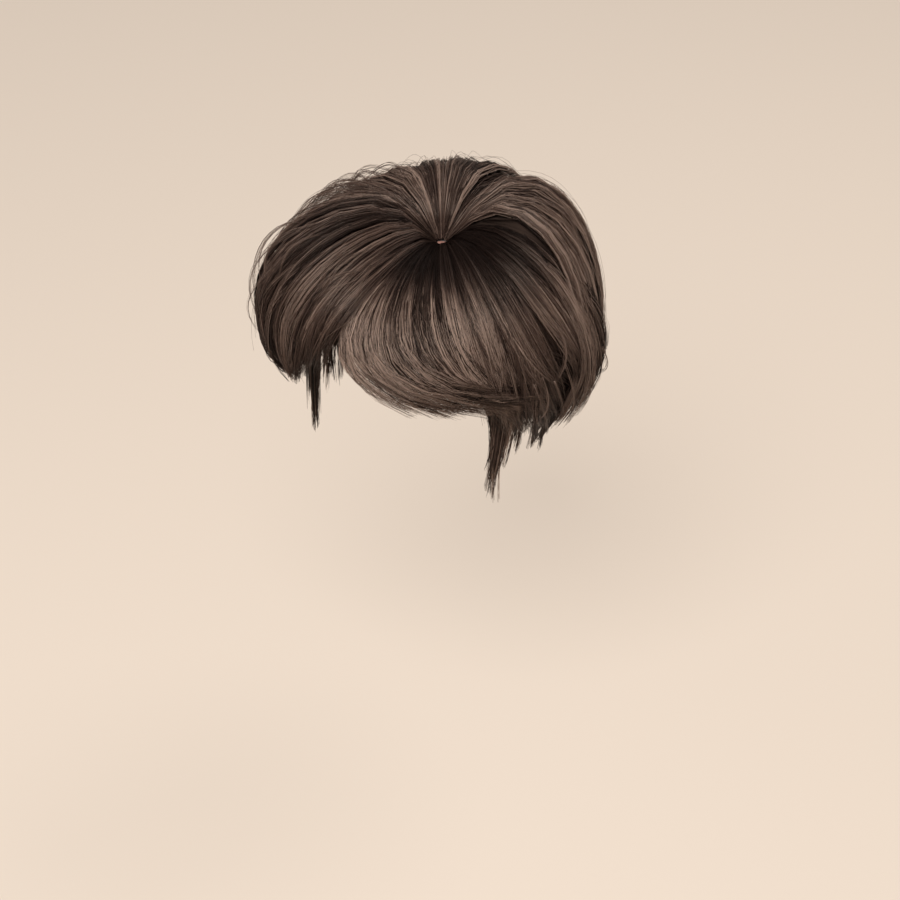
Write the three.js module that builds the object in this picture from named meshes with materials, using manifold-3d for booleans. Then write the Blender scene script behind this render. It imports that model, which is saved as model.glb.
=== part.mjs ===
// A short hair topper: a dome cap with comb clips, covered in locks of hair that turn round a crown whorl.
// Millimetres, +Z up. The wearer faces -Y, and the wearer's left is +X.
// The origin is where the top of the head meets the inside of the cap.
import * as THREE from 'three';
import { mergeVertices } from 'three/addons/utils/BufferGeometryUtils.js';
import Module from 'manifold-3d';

const wasm = await Module();
wasm.setup();

// Driving dimensions

const GAP = 0.3;
// The head inside: half an ellipsoid above its widest level, and straight sides below that.
const HEAD = { halfWidth: 75, halfLength: 95, height: 98 };
// The cap's rim lies in a plane that is lower at the back. Its facets stand in from the true curve.
const CAP = { wall: 1.4, rimFront: -36, rimBack: -68, sides: 32, rings: 8, facet: 0.6 };
// The hairs start round the eye of the whorl, a ring of this radius near the head's top.
const WHORL = { x: 5, y: -2, z: 3, eye: 5 };
const PATCH = { radius: 4, thick: 1.2, sides: 14, shoulder: { radius: 3.2, height: 0.8 } };
const CLIP = { length: 32, bar: 5, thick: 1.4, aboveRim: 14 };
const TOOTH = { count: 7, width: 1.8, tipWidth: 0.9, length: 11 };
const CLIPS = { front: 270, left: 0, right: 180, back: 90 };
// The hair's inner side lies this far off the head, clear of the cap.
const HAIR = { offHead: 3, hemThick: 5, columnStep: 10, rows: 8 };
// Its backing meets a lock at this share of its thickness, and ends above the lock's tip.
const LOCK = { sides: 6, steps: 7, backed: 0.55, overhang: 12, start: 0.07, sweepPower: 2.6 };
// A lock's size along its length, as shares of its full size and of its length.
const TAPER = { root: 0.3, tip: 0.16, fullFrom: 0.5, fullTo: 0.62, power: 1.6 };
// The under layer starts at this height, under the hair that falls over it.
// That hair is cleared away behind it too, by this many gaps.
const UNDER = { top: -62, steps: 4, rows: 4, backed: 0.6, clearBehind: 20 };

// The locks, a row for each, in order round the whorl.
// azimuth: direction at the whorl, in degrees from the wearer's left towards the back.
// sweep: how far that direction has turned at the tip.
// rise, crest: the crest's height over the whorl, and its distance from the whorl's axis.
// reach, belly: the largest distance from that axis, and the height where the lock has it.
// hem, tuck: the tip's height, and how far the tip is drawn in again.
// width, thick: the lock's own size.
const PATH_COLUMNS = ['azimuth', 'sweep', 'rise', 'crest', 'reach', 'belly', 'hem', 'tuck'];
const OUTER_COLUMNS = [...PATH_COLUMNS, 'width', 'thick'];
const OUTER_LOCKS = {
  crown_left: [
    [24, -10, 34, 42, 107, -54, -120, 28, 30, 16],
    [38, -10, 39, 46, 110, -58, -132, 36, 30, 17],
    [52, -8, 40, 48, 113, -60, -140, 38, 30, 17],
    [66, -6, 36, 48, 118, -60, -144, 38, 30, 17],
  ],
  back_left: [
    [82, -4, 25, 48, 124, -60, -148, 38, 32, 17],
    [96, 0, 34, 48, 128, -60, -150, 40, 32, 17],
    [108, 4, 37, 48, 128, -60, -150, 40, 32, 17],
  ],
  back_right: [
    [122, 6, 36, 48, 127, -60, -148, 38, 32, 17],
    [136, 8, 34, 48, 124, -58, -144, 38, 32, 17],
    [150, 10, 32, 46, 122, -56, -136, 34, 32, 17],
  ],
  side_right: [
    [165, 8, 31, 44, 121, -54, -126, 28, 32, 16],
    [181, 4, 31, 42, 122, -54, -118, 26, 32, 16],
    [197, 0, 31, 42, 124, -54, -112, 26, 32, 16],
  ],
  fringe_right: [
    [212, -6, 31, 42, 130, -54, -104, 26, 30, 15],
    [226, -8, 28, 40, 128, -54, -98, 20, 26, 13],
    [239, -10, 23, 34, 119, -54, -90, 8, 24, 12],
    [251, -8, 18, 28, 110, -52, -76, 0, 22, 10],
    [262, -2, 11, 24, 106, -48, -60, 0, 20, 9],
  ],
  fringe_left: [
    [271, 3, 7, 22, 106, -48, -62, 0, 20, 9],
    [281, 18, 6, 20, 104, -56, -76, 0, 24, 10],
    [293, 22, 6, 20, 101, -60, -80, 0, 24, 11],
    [306, 18, 7, 22, 100, -62, -82, 2, 26, 12],
  ],
  side_left: [
    [321, 10, 9, 26, 101, -62, -98, 8, 26, 13],
    [336, 4, 12, 28, 103, -62, -112, 14, 28, 14],
    [352, 0, 15, 30, 106, -60, -120, 18, 28, 14],
    [367, -4, 20, 34, 109, -60, -124, 22, 28, 14],
  ],
};
// The forelock parts between these two sections, so their edges differ.
const PARTING = { before: 'fringe_right', after: 'fringe_left' };

// The longer hair that lies on the head under the rim: tuck is measured from the head's straight side.
const UNDER_COLUMNS = ['azimuth', 'sweep', 'hem', 'tuck', 'width', 'thick'];
const UNDER_LOCKS = {
  sideburn_left: [
    [335, -5, -158, 2, 16, 7],
    [346, -8, -140, 2, 18, 6],
    [360, -2, -136, 3, 20, 6],
  ],
  nape: [
    [20, 4, -138, 16, 26, 7],
    [43, 2, -157, 28, 30, 8],
    [66, 0, -159, 34, 32, 8],
    [89, 0, -160, 36, 32, 8],
    [112, 0, -159, 35, 32, 8],
    [135, 0, -157, 31, 30, 8],
    [158, -2, -138, 18, 26, 7],
  ],
  sideburn_right: [
    [180, 2, -136, 3, 20, 6],
    [194, 8, -140, 2, 18, 6],
    [205, 5, -156, 2, 16, 7],
  ],
};

const FINISH = {
  hair: { color: 0x3a2b25, roughness: 0.45, metalness: 0 },
  cap: { color: 0x2b2320, roughness: 0.9, metalness: 0 },
  patch: { color: 0x9a6f60, roughness: 0.7, metalness: 0 },
  clip: { color: 0x2a2a2c, roughness: 0.35, metalness: 0.8 },
};

const { degToRad, lerp, clamp } = THREE.MathUtils;

// Solids

function toSolid(geometry) {
  const bare = new THREE.BufferGeometry();
  bare.setAttribute('position', geometry.getAttribute('position'));
  bare.setIndex(geometry.index);
  const merged = mergeVertices(bare, 1e-4);
  const corners = merged.index.array;
  const triVerts = [];
  for (let i = 0; i < corners.length; i += 3) {
    const [a, b, c] = corners.slice(i, i + 3);
    if (a !== b && b !== c && c !== a) triVerts.push(a, b, c);
  }
  return new wasm.Manifold(
    new wasm.Mesh({
      numProp: 3,
      vertProperties: new Float32Array(merged.getAttribute('position').array),
      triVerts: new Uint32Array(triVerts),
    }),
  );
}

function toMesh(name, solid, finish) {
  const { vertProperties, triVerts } = solid.getMesh();
  const geometry = new THREE.BufferGeometry();
  geometry.setAttribute('position', new THREE.BufferAttribute(vertProperties, 3));
  geometry.setIndex(new THREE.BufferAttribute(triVerts, 1));
  geometry.computeVertexNormals();
  const mesh = new THREE.Mesh(geometry, new THREE.MeshStandardMaterial(finish));
  mesh.name = name;
  return mesh;
}

const larger = (a, b) => (b.volume() > a.volume() ? b : a);
const largestBody = (solid) => solid.decompose().reduce(larger);

// A closed surface through rings of points, each ring a loop, with a flat face on both ends.
function loftRings(rings) {
  const sides = rings[0].length;
  const index = [];
  for (let r = 0; r + 1 < rings.length; r++) {
    for (let s = 0; s < sides; s++) {
      const a = r * sides + s;
      const b = r * sides + ((s + 1) % sides);
      index.push(a, b, a + sides, b, b + sides, a + sides);
    }
  }
  const outline = rings.map((ring) => ring.flatMap((p) => p.toArray())).flat();
  const last = (rings.length - 1) * sides;
  // Each end is a strip between the loop's two halves.
  for (let s = 0; s + 1 < sides / 2; s++) {
    const [a, b, c, d] = [s, s + 1, sides - 2 - s, sides - 1 - s];
    index.push(a, d, b, b, d, c);
    index.push(last + a, last + b, last + d, last + b, last + c, last + d);
  }
  const geometry = new THREE.BufferGeometry();
  geometry.setAttribute('position', new THREE.Float32BufferAttribute(outline, 3));
  geometry.setIndex(index);
  const solid = toSolid(geometry);
  return solid.volume() < 0 ? flipped(geometry) : solid;
}

function flipped(geometry) {
  geometry.setIndex([...geometry.index.array].reverse());
  return toSolid(geometry);
}

// The head

// Distance from the whorl's axis to the widest outline of the head, grown by the given amount.
function distanceToSide(angle, grow) {
  const a = HEAD.halfWidth + grow;
  const b = HEAD.halfLength + grow;
  const dx = Math.cos(angle);
  const dy = Math.sin(angle);
  const square = (dx / a) ** 2 + (dy / b) ** 2;
  const half = (WHORL.x * dx) / a ** 2 + (WHORL.y * dy) / b ** 2;
  const rest = (WHORL.x / a) ** 2 + (WHORL.y / b) ** 2 - 1;
  return (Math.sqrt(half * half - square * rest) - half) / square;
}

// Height of the grown head at a distance from the whorl's axis.
function headHeight(distance, angle, grow) {
  const x = (WHORL.x + distance * Math.cos(angle)) / (HEAD.halfWidth + grow);
  const y = (WHORL.y + distance * Math.sin(angle)) / (HEAD.halfLength + grow);
  return (HEAD.height + grow) * Math.sqrt(Math.max(0, 1 - x * x - y * y)) - HEAD.height;
}

// Length of the way over the head from its top down to a height.
const wayOver = (height) => Math.acos(clamp(height / HEAD.height + 1, 0, 1)) * HEAD.height;

// Hair paths

const named = (columns) => (values) => Object.fromEntries(columns.map((name, i) => [name, values[i]]));

// The row of a direction that lies between two locks.
function rowAt(rows, azimuth) {
  let i = 0;
  while (i + 2 < rows.length && azimuth > rows[i + 1].azimuth) i++;
  const [a, b] = [rows[i], rows[i + 1]];
  const share = clamp((azimuth - a.azimuth) / (b.azimuth - a.azimuth), 0, 1);
  const mixed = Object.keys(a).map((name) => [name, lerp(a[name], b[name], share)]);
  return { ...Object.fromEntries(mixed), azimuth };
}

// The row's path moved in from the outer face by a depth.
const sunk = (row, depth) => ({ ...row, rise: row.rise - depth, reach: row.reach - depth });

const direction = (row, share) => degToRad(row.azimuth + row.sweep * share ** LOCK.sweepPower);

function place(distance, height, angle) {
  const x = WHORL.x + distance * Math.cos(angle);
  const y = WHORL.y + distance * Math.sin(angle);
  return new THREE.Vector3(x, y, height);
}

// A lock's side view, as distance and height, from the root over the crest to the tip.
function sideView(row) {
  const steps = 16;
  const shares = Array.from({ length: steps }, (_, i) => i / steps);
  const quarter = Math.PI / 2;
  const crestHeight = WHORL.z + row.rise;
  const rising = shares.map((u) => [
    lerp(WHORL.eye, row.crest, u),
    WHORL.z + row.rise * Math.sin(u * quarter),
  ]);
  const falling = shares.map((u) => [
    lerp(row.crest, row.reach, Math.sin(u * quarter)),
    lerp(row.belly, crestHeight, Math.cos(u * quarter)),
  ]);
  const hanging = [...shares, 1].map((u) => [
    row.reach - row.tuck * u * u,
    lerp(row.belly, row.hem, u),
  ]);
  return [...rising, ...falling, ...hanging].map(([x, y]) => new THREE.Vector2(x, y));
}

// The point at a share of a side view's length.
function pointAlong(points, share) {
  const lengths = points.slice(1).map((point, i) => point.distanceTo(points[i]));
  let left = share * lengths.reduce((sum, length) => sum + length);
  let i = 0;
  while (i + 1 < lengths.length && left > lengths[i]) left -= lengths[i++];
  return points[i].clone().lerp(points[i + 1], left / lengths[i]);
}

function outerPoint(row, share) {
  const { x, y } = pointAlong(sideView(row), share);
  return place(x, y, direction(row, share));
}

// A point on hair that lies over the head and then hangs beside it, drawn in towards its hem.
function headPoint(row, share, offHead, drawnIn) {
  const angle = direction(row, share);
  const side = distanceToSide(angle, offHead);
  const over = wayOver(row.hem);
  const below = Math.max(0, -HEAD.height - row.hem);
  const travelled = share * (over + below);
  if (travelled <= over) {
    const distance = lerp(WHORL.eye, side, Math.sin(travelled / HEAD.height));
    return place(distance, headHeight(distance, angle, offHead), angle);
  }
  const hung = travelled - over;
  return place(side - drawnIn * (hung / below) ** 2, -HEAD.height - hung, angle);
}

const spread = (count, from) => Array.from({ length: count }, (_, k) => lerp(from, 1, k / (count - 1)));

// The backing of a run of locks, as a closed wall between an outer and an inner side.
function backing(from, to, shares, outerAt, innerAt, grow) {
  const columns = Math.max(2, Math.round((to - from) / HAIR.columnStep));
  const rings = Array.from({ length: columns + 1 }, (_, c) => {
    const azimuth = lerp(from, to, c / columns);
    const outer = shares.map((share) => outerAt(azimuth, share));
    const inner = shares.map((share) => innerAt(azimuth, share));
    return [...outer, ...inner.reverse()];
  });
  // Growth also moves the two end faces apart.
  for (const [end, side] of [[0, -1], [columns, 1]]) {
    const angle = degToRad(lerp(from, to, end / columns));
    const across = new THREE.Vector3(-Math.sin(angle), Math.cos(angle), 0);
    rings[end].forEach((point) => point.addScaledVector(across, side * grow));
  }
  return loftRings(rings);
}

function lockSize(share) {
  const swelling = Math.sin((Math.min(1, share / TAPER.fullFrom) * Math.PI) / 2);
  const falling = Math.max(0, (share - TAPER.fullTo) / (1 - TAPER.fullTo));
  return lerp(lerp(TAPER.root, 1, swelling), TAPER.tip, falling ** TAPER.power);
}

// One lock: a flat, tapering bundle along its path.
function lockSolid(row, shares, pointAt, grow) {
  const path = shares.map((share) => pointAt(row, share));
  const rings = path.map((at, k) => {
    const share = shares[k];
    const before = path[Math.max(0, k - 1)];
    const after = path[Math.min(path.length - 1, k + 1)];
    const along = after.clone().sub(before).normalize();
    const angle = direction(row, share);
    const across = new THREE.Vector3(-Math.sin(angle), Math.cos(angle), 0);
    across.addScaledVector(along, -across.dot(along)).normalize();
    const outward = across.clone().cross(along);
    const size = lockSize(share);
    const end = k === 0 ? -grow : k + 1 === path.length ? grow : 0;
    const centre = at.clone().addScaledVector(along, end);
    return Array.from({ length: LOCK.sides }, (_, s) => {
      const turn = ((s + 0.5) / LOCK.sides) * 2 * Math.PI;
      const aside = Math.cos(turn) * ((row.width / 2) * size + grow);
      const out = Math.sin(turn) * ((row.thick / 2) * size + grow);
      return centre.clone().addScaledVector(across, aside).addScaledVector(outward, out);
    });
  });
  return loftRings(rings);
}

const fuse = (solids) => solids.reduce((body, solid) => body.add(solid));

// Sections of hair

// A section that arches out from the whorl: its locks, and the backing that they lie on.
function outerSection({ rows, blend, from, to }, grow) {
  const shares = spread(HAIR.rows, 0);
  const backed = (azimuth) => {
    const row = rowAt(blend, azimuth);
    const hem = Math.min(row.belly - 2, row.hem + LOCK.overhang - grow);
    return { ...sunk(row, row.thick * LOCK.backed - grow), hem };
  };
  const innerAt = (azimuth, share) => {
    const row = backed(azimuth);
    const side = distanceToSide(direction(row, share), HAIR.offHead - grow);
    const drawnIn = Math.max(0, side - (row.reach - row.tuck - HAIR.hemThick));
    return headPoint(row, share, HAIR.offHead - grow, drawnIn);
  };
  const outerAt = (azimuth, share) => outerPoint(backed(azimuth), share);
  const body = backing(from, to, shares, outerAt, innerAt, grow);
  const lockAt = (row, share) => outerPoint(sunk(row, row.thick / 2), share);
  const locks = rows.map((row) => lockSolid(row, spread(LOCK.steps, LOCK.start), lockAt, grow));
  return fuse([body, ...locks]);
}

// A section of the under layer, which starts under the hair above it.
function underSection(rows, grow) {
  const wayDown = (row) => wayOver(row.hem) + Math.max(0, -HEAD.height - row.hem);
  const startOf = (row) => (wayOver(UNDER.top) - grow) / wayDown(row);
  const [from, to] = [rows[0].azimuth, rows.at(-1).azimuth];
  const sideAt = (offHead) => (azimuth, share) => {
    const whole = rowAt(rows, azimuth);
    const row = { ...whole, hem: whole.hem + LOCK.overhang - grow };
    const start = startOf(row);
    return headPoint(row, lerp(start, 1, share), offHead(row), row.tuck);
  };
  const outerAt = sideAt((row) => HAIR.offHead + row.thick * UNDER.backed + grow);
  const innerAt = sideAt(() => HAIR.offHead - grow * UNDER.clearBehind);
  const body = backing(from, to, spread(UNDER.rows, 0), outerAt, innerAt, grow);
  const lockAt = (row, share) => headPoint(row, share, HAIR.offHead + row.thick / 2, row.tuck);
  const locks = rows.map((row) => lockSolid(row, spread(UNDER.steps, startOf(row)), lockAt, grow));
  return fuse([body, ...locks]);
}

// The outer sections. Their edges lie midway between the last lock of one and the first of the next.
function outerSections() {
  const toRow = named(OUTER_COLUMNS);
  const entries = Object.entries(OUTER_LOCKS).map(([name, table]) => [name, table.map(toRow)]);
  const count = entries.length;
  const turnedBy = (row, degrees) => ({ ...row, azimuth: row.azimuth + degrees });
  return entries.map(([name, rows], i) => {
    const before = turnedBy(entries[(i + count - 1) % count][1].at(-1), i === 0 ? -360 : 0);
    const after = turnedBy(entries[(i + 1) % count][1][0], i === count - 1 ? 360 : 0);
    const blend = [...rows];
    if (name !== PARTING.after) blend.unshift(before);
    if (name !== PARTING.before) blend.push(after);
    const from = (before.azimuth + rows[0].azimuth) / 2;
    const to = (rows.at(-1).azimuth + after.azimuth) / 2;
    return { name, make: (grow) => outerSection({ rows, blend, from, to }, grow) };
  });
}

function underSections() {
  return Object.entries(UNDER_LOCKS).map(([name, table]) => {
    const rows = table.map(named(UNDER_COLUMNS));
    return { name, make: (grow) => underSection(rows, grow) };
  });
}

// Each section gives way, with a gap, to the sections before it.
function hairMeshes() {
  const made = [];
  return [...underSections(), ...outerSections()].map(({ name, make }) => {
    const whole = make(0);
    const cut = made.reduce((body, other) => body.subtract(other), whole);
    made.push(make(GAP));
    return toMesh(name, largestBody(cut), FINISH.hair);
  });
}

// Cap, patch and clips

function capMesh() {
  const quarter = Math.PI / 2;
  const wall = (grow) =>
    spread(CAP.rings, 0).map((u) => {
      const radius = (HEAD.halfLength + grow) * Math.sin(u * quarter);
      return new THREE.Vector2(radius, (HEAD.height + grow) * Math.cos(u * quarter) - HEAD.height);
    });
  const profile = [...wall(0), ...wall(CAP.wall).reverse()];
  const dome = new THREE.LatheGeometry(profile, CAP.sides);
  dome.rotateX(quarter).scale(HEAD.halfWidth / HEAD.halfLength, 1, 1);
  // A block large enough to cut away all that lies under the rim's plane.
  const block = 2.5 * HEAD.halfLength;
  const below = new THREE.BoxGeometry(block, block, block);
  const tilt = Math.atan2(CAP.rimBack - CAP.rimFront, 2 * HEAD.halfLength);
  below.translate(0, 0, -block / 2).rotateX(tilt);
  below.translate(0, 0, (CAP.rimFront + CAP.rimBack) / 2);
  return toMesh('base_cap', toSolid(dome).subtract(toSolid(below)), FINISH.cap);
}

function patchMesh() {
  const { radius, thick, shoulder } = PATCH;
  const profile = [[0, 0], [radius, 0], [shoulder.radius, shoulder.height], [0, thick]];
  const points = profile.map(([x, y]) => new THREE.Vector2(x, y));
  const disc = new THREE.LatheGeometry(points, PATCH.sides).rotateX(Math.PI / 2);
  const height = headHeight(0, 0, CAP.wall) + GAP;
  const mesh = toMesh('crown_patch', toSolid(disc), FINISH.patch);
  mesh.position.set(WHORL.x, WHORL.y, height);
  return mesh;
}

// A flat comb: a bar with teeth below it, in the XY plane.
function combShape() {
  const pitch = (CLIP.length - TOOTH.width) / (TOOTH.count - 1);
  const taper = (TOOTH.width - TOOTH.tipWidth) / 2;
  const shape = new THREE.Shape();
  shape.moveTo(CLIP.length / 2, 0);
  shape.lineTo(CLIP.length / 2, CLIP.bar);
  shape.lineTo(-CLIP.length / 2, CLIP.bar);
  for (let t = 0; t < TOOTH.count; t++) {
    const left = -CLIP.length / 2 + t * pitch;
    shape.lineTo(left, 0);
    shape.lineTo(left + taper, -TOOTH.length);
    shape.lineTo(left + taper + TOOTH.tipWidth, -TOOTH.length);
    shape.lineTo(left + TOOTH.width, 0);
  }
  return shape;
}

// A clip lies flat against the inside of the cap, where its corners come closest.
function clipMesh(name, azimuth) {
  const angle = degToRad(azimuth);
  const rimHeight = lerp(CAP.rimFront, CAP.rimBack, (1 + Math.sin(angle)) / 2);
  const level = (rimHeight + CLIP.aboveRim + HEAD.height) / HEAD.height;
  const ring = Math.sqrt(1 - level * level);
  const halfX = HEAD.halfWidth * ring;
  const halfY = HEAD.halfLength * ring;
  const at = new THREE.Vector3(halfX * Math.cos(angle), halfY * Math.sin(angle), rimHeight + CLIP.aboveRim);
  const out = new THREE.Vector3(
    at.x / HEAD.halfWidth ** 2,
    at.y / HEAD.halfLength ** 2,
    (at.z + HEAD.height) / HEAD.height ** 2,
  ).normalize();
  const along = new THREE.Vector3(-Math.sin(angle), Math.cos(angle), 0);
  const up = out.clone().cross(along);
  // The cap curves away from a flat clip by these heights of arc, along the bar and along the teeth.
  const curve = Math.abs(Math.cos(angle)) > 0.5 ? halfY ** 2 / halfX : halfX ** 2 / halfY;
  const arcAlong = ((CLIP.length / 2) ** 2 / (2 * curve)) * Math.hypot(out.x, out.y);
  const arcDown = TOOTH.length ** 2 / (2 * HEAD.height);
  const depth = arcAlong + arcDown + CAP.facet + CLIP.thick + GAP;
  const comb = new THREE.ExtrudeGeometry(combShape(), { depth: CLIP.thick, bevelEnabled: false });
  comb.deleteAttribute('normal').deleteAttribute('uv');
  const solid = toSolid(mergeVertices(comb));
  const mesh = toMesh(name, solid, FINISH.clip);
  mesh.matrixAutoUpdate = false;
  mesh.matrix.makeBasis(along, up, out).setPosition(at.addScaledVector(out, -depth));
  return mesh;
}

const topper = new THREE.Group();
topper.add(capMesh(), patchMesh(), ...hairMeshes());
for (const [side, azimuth] of Object.entries(CLIPS)) topper.add(clipMesh(`clip_${side}`, azimuth));

export default topper;
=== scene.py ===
# Looks of a short hair topper.
# Each section of hair has strands over a core painted dark as the shade beneath them; a net cap, clips and
# a patch carry it.
import math

import bpy
import numpy as np
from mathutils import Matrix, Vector


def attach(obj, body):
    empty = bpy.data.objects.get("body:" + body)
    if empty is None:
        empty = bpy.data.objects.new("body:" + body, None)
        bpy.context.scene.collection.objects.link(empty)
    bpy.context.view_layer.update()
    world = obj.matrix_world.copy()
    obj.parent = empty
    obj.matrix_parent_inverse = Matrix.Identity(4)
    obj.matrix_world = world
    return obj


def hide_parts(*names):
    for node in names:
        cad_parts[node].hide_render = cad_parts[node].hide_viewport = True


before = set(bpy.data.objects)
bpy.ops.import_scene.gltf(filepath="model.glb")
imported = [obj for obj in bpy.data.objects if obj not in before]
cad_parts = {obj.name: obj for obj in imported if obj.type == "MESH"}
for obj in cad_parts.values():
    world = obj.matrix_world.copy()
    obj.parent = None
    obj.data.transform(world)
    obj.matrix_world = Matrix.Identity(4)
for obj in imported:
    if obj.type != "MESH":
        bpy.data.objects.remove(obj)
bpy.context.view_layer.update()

# Sizes. Lengths are in millimetres and angles in degrees until a mesh is made.

MM = 0.001
SEED = 11
FULL_TURN = 360
BAKE_UV = "OFBake"
# These keep a division from failing and a wall from having no side.
TINY = 1e-9
SMALL_LENGTH = 1e-6

# The dome inside the cap, the cap and the whorl have the sizes of the solids, and the locks follow theirs.
DOME = {"half_width": 75, "half_length": 95, "height": 98}
CAP = {"wall": 1.4, "rim_front": -36, "rim_back": -68, "around": 96, "down": 28, "top_gap": 0.02}
RIM_TAPE = {"width": 7, "proud": 0.45, "bevel": 1.2}
WHORL = {"x": 5, "y": -2, "z": 3, "eye": 5}
HAIR = {"off_dome": 3, "hem_thick": 5, "backed": 0.55, "sweep_power": 2.6}
# Hair spreads past the outer locks of its section by this angle.
SPILL = 1.5
# Steps on each of the three stretches of a lock's side view.
SIDE_VIEW_STEPS = 16

# The locks, a row for each, in order round the whorl.
# azimuth: direction at the whorl, from the wearer's left towards the back; sweep: its turn at the tip.
# rise, crest: the crest's height over the whorl and distance from its axis.
# reach, belly: the largest distance and its height; hem, tuck: the tip's height and how far it draws in.
# thick: the depth of the lock; flick, lift: the late turn and rise of its hair's tips.
OUTER_COLUMNS = (
    "azimuth", "sweep", "rise", "crest", "reach", "belly", "hem", "tuck", "thick", "flick", "lift",
)
OUTER_LOCKS = {
    "fringe_left": (
        (271, 0, 8, 22, 106, -46, -74, 0, 9, 36, 0),
        (278, 6, 6, 20, 105, -50, -76, 0, 10, 33, 0),
        (285, 14, 6, 20, 104, -54, -76, 0, 10, 29, 0),
        (295, 22, 6, 20, 102, -58, -78, 0, 11, 23, 0),
        (306, 26, 7, 22, 100, -60, -82, 2, 12, 16, 0),
    ),
    "side_left": (
        (321, 20, 9, 26, 100, -60, -104, 12, 13, 2, 0),
        (336, 26, 12, 28, 103, -60, -118, 16, 14, 8, 4),
        (352, 28, 15, 30, 107, -58, -114, 12, 14, 8, 5),
        (367, 22, 20, 34, 113, -60, -116, 22, 14, -8, 0),
    ),
    "crown_left": (
        (384, -10, 34, 44, 107, -56, -120, 24, 16, -4, 0),
        (398, -10, 41, 50, 108, -58, -132, 36, 17, 4, 2),
        (412, -8, 43, 52, 112, -60, -140, 38, 17, 4, 2),
        (426, -6, 36, 50, 118, -60, -144, 38, 17, 4, 2),
    ),
    "back_left": (
        (442, -4, 20, 46, 120, -60, -148, 38, 17, 3, 2),
        (449, -2, 22, 46, 123, -60, -149, 39, 17, 3, 2),
        (456, 0, 34, 48, 128, -60, -150, 40, 17, 3, 2),
        (468, 4, 37, 48, 128, -60, -150, 40, 17, 3, 2),
    ),
    "back_right": (
        (482, 6, 36, 48, 127, -60, -148, 38, 17, -3, 2),
        (496, 8, 34, 48, 124, -58, -144, 38, 17, -3, 2),
        (510, 10, 32, 46, 122, -56, -136, 34, 17, -3, 2),
    ),
    "side_right": (
        (525, 8, 30, 44, 119, -54, -126, 28, 16, -3, 2),
        (541, 4, 29, 42, 119, -54, -118, 26, 16, -3, 2),
        (557, 0, 29, 42, 121, -54, -112, 26, 16, -3, 2),
    ),
    "fringe_right": (
        (572, -4, 30, 42, 128, -54, -122, 26, 15, 6, 30),
        (586, -9, 27, 40, 126, -54, -122, 18, 13, 10, 36),
        (599, -14, 23, 34, 119, -54, -119, 8, 12, 15, 42),
        (611, -17, 17, 28, 110, -50, -86, 0, 10, 5, 6),
        (620, -17, 13, 26, 108, -44, -76, 0, 9, 2, 2),
        (628, -15, 10, 24, 106, -36, -60, 0, 9, -2, 0),
    ),
}
# Sections whose first lock stands apart from the one before it, at the parting and at the crown's lobe.
STEPS_AT = ("fringe_left", "crown_left")

# The longer hair that lies close below the rim.
UNDER_COLUMNS = ("azimuth", "sweep", "hem", "tuck", "thick")
UNDER_LOCKS = {
    "sideburn_left": (
        (324, 9, -92, 2, 6),
        (329, 6, -101, 2, 6),
        (334, -2, -161, 2, 7),
        (338, -7, -152, 2, 7),
        (344, -12, -142, 2, 7),
        (350, -12, -135, 2, 6),
        (356, -9, -128, 2, 6),
        (361, -4, -122, 2, 6),
        (366, -1, -137, 3, 6),
        (370, 1, -142, 4, 6),
    ),
    "nape": (
        (374, 2, -142, 5, 6),
        (382, 2, -140, 14, 7),
        (403, 2, -157, 28, 8),
        (426, 0, -159, 34, 8),
        (449, 0, -160, 36, 8),
        (472, 0, -159, 35, 8),
        (495, 0, -157, 31, 8),
        (518, 0, -140, 18, 7),
    ),
    "sideburn_right": (
        (531, 8, -130, 5, 6),
        (539, 4, -132, 3, 6),
        (545, 9, -128, 2, 6),
        (551, 13, -138, 2, 6),
        (557, 12, -150, 2, 7),
        (563, 7, -155, 2, 7),
        (569, 2, -156, 2, 7),
    ),
}

# Over the hair's own colour, root and middle hold painted shade at the root and a painted highlight band
# at the middle.
# How each section's hair is made.
# clumps: number in the section; root, middle, tip: mean shades along it, from 0, darkest, to 1.
# light_at: share of the way down where the middle shade is reached.
# hook: how late the tips turn and rise.
# vary: how much the shade of clumps, wisps and hairs varies.
# mess: how far clumps stray from their way; short: share of the length by which ends fall short.
# core_end: share of the way down where the core ends.
# strays: loose single hairs; loops: wisps that arch off the surface, about loop_at of the way down.
# loop_high: the largest height of these wisps.
STYLE_COLUMNS = (
    "clumps", "root", "middle", "tip", "light_at", "vary", "hook", "mess", "short", "core_end", "strays",
    "loops", "loop_at", "loop_high",
)
OUTER_STYLES = {
    "fringe_left": (42, 0.02, 0.72, 0.52, 0.62, 2.2, 9, 3.0, 0.12, 0.70, 40, 0, 0, 0),
    "side_left": (46, 0.08, 0.80, 0.60, 0.50, 1.0, 7, 7, 0.22, 0.80, 60, 14, 0.74, 4),
    "crown_left": (40, 0.66, 0.84, 0.46, 0.55, 1.0, 5, 2.5, 0.12, 0.74, 40, 3, 0.32, 6),
    "back_left": (26, 0.64, 0.78, 0.54, 0.55, 1.0, 5, 3, 0.18, 0.85, 40, 0, 0, 0),
    "back_right": (30, 0.64, 0.76, 0.52, 0.55, 1.0, 5, 3, 0.18, 0.85, 60, 0, 0, 0),
    "side_right": (28, 0.56, 0.66, 0.46, 0.55, 1.0, 5, 4, 0.20, 0.86, 60, 20, 0.36, 10),
    "fringe_right": (38, 0.46, 0.70, 0.40, 0.55, 0.80, 6, 0.8, 0.05, 0.67, 40, 16, 0.54, 10),
}
# close: share of a clump's width that is left at its tips.
UNDER_STYLE_COLUMNS = ("clumps", "root", "middle", "tip", "light_at", "vary", "short", "core_end", "close")
UNDER_STYLES = {
    "sideburn_left": (34, 0.46, 0.60, 0.62, 0.6, 0.9, 0.13, 0.36, 0.5),
    "nape": (30, 0.40, 0.56, 0.54, 0.6, 0.9, 0.12, 0.64, 0.8),
    "sideburn_right": (22, 0.46, 0.60, 0.62, 0.6, 0.9, 0.18, 0.25, 0.5),
}
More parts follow.
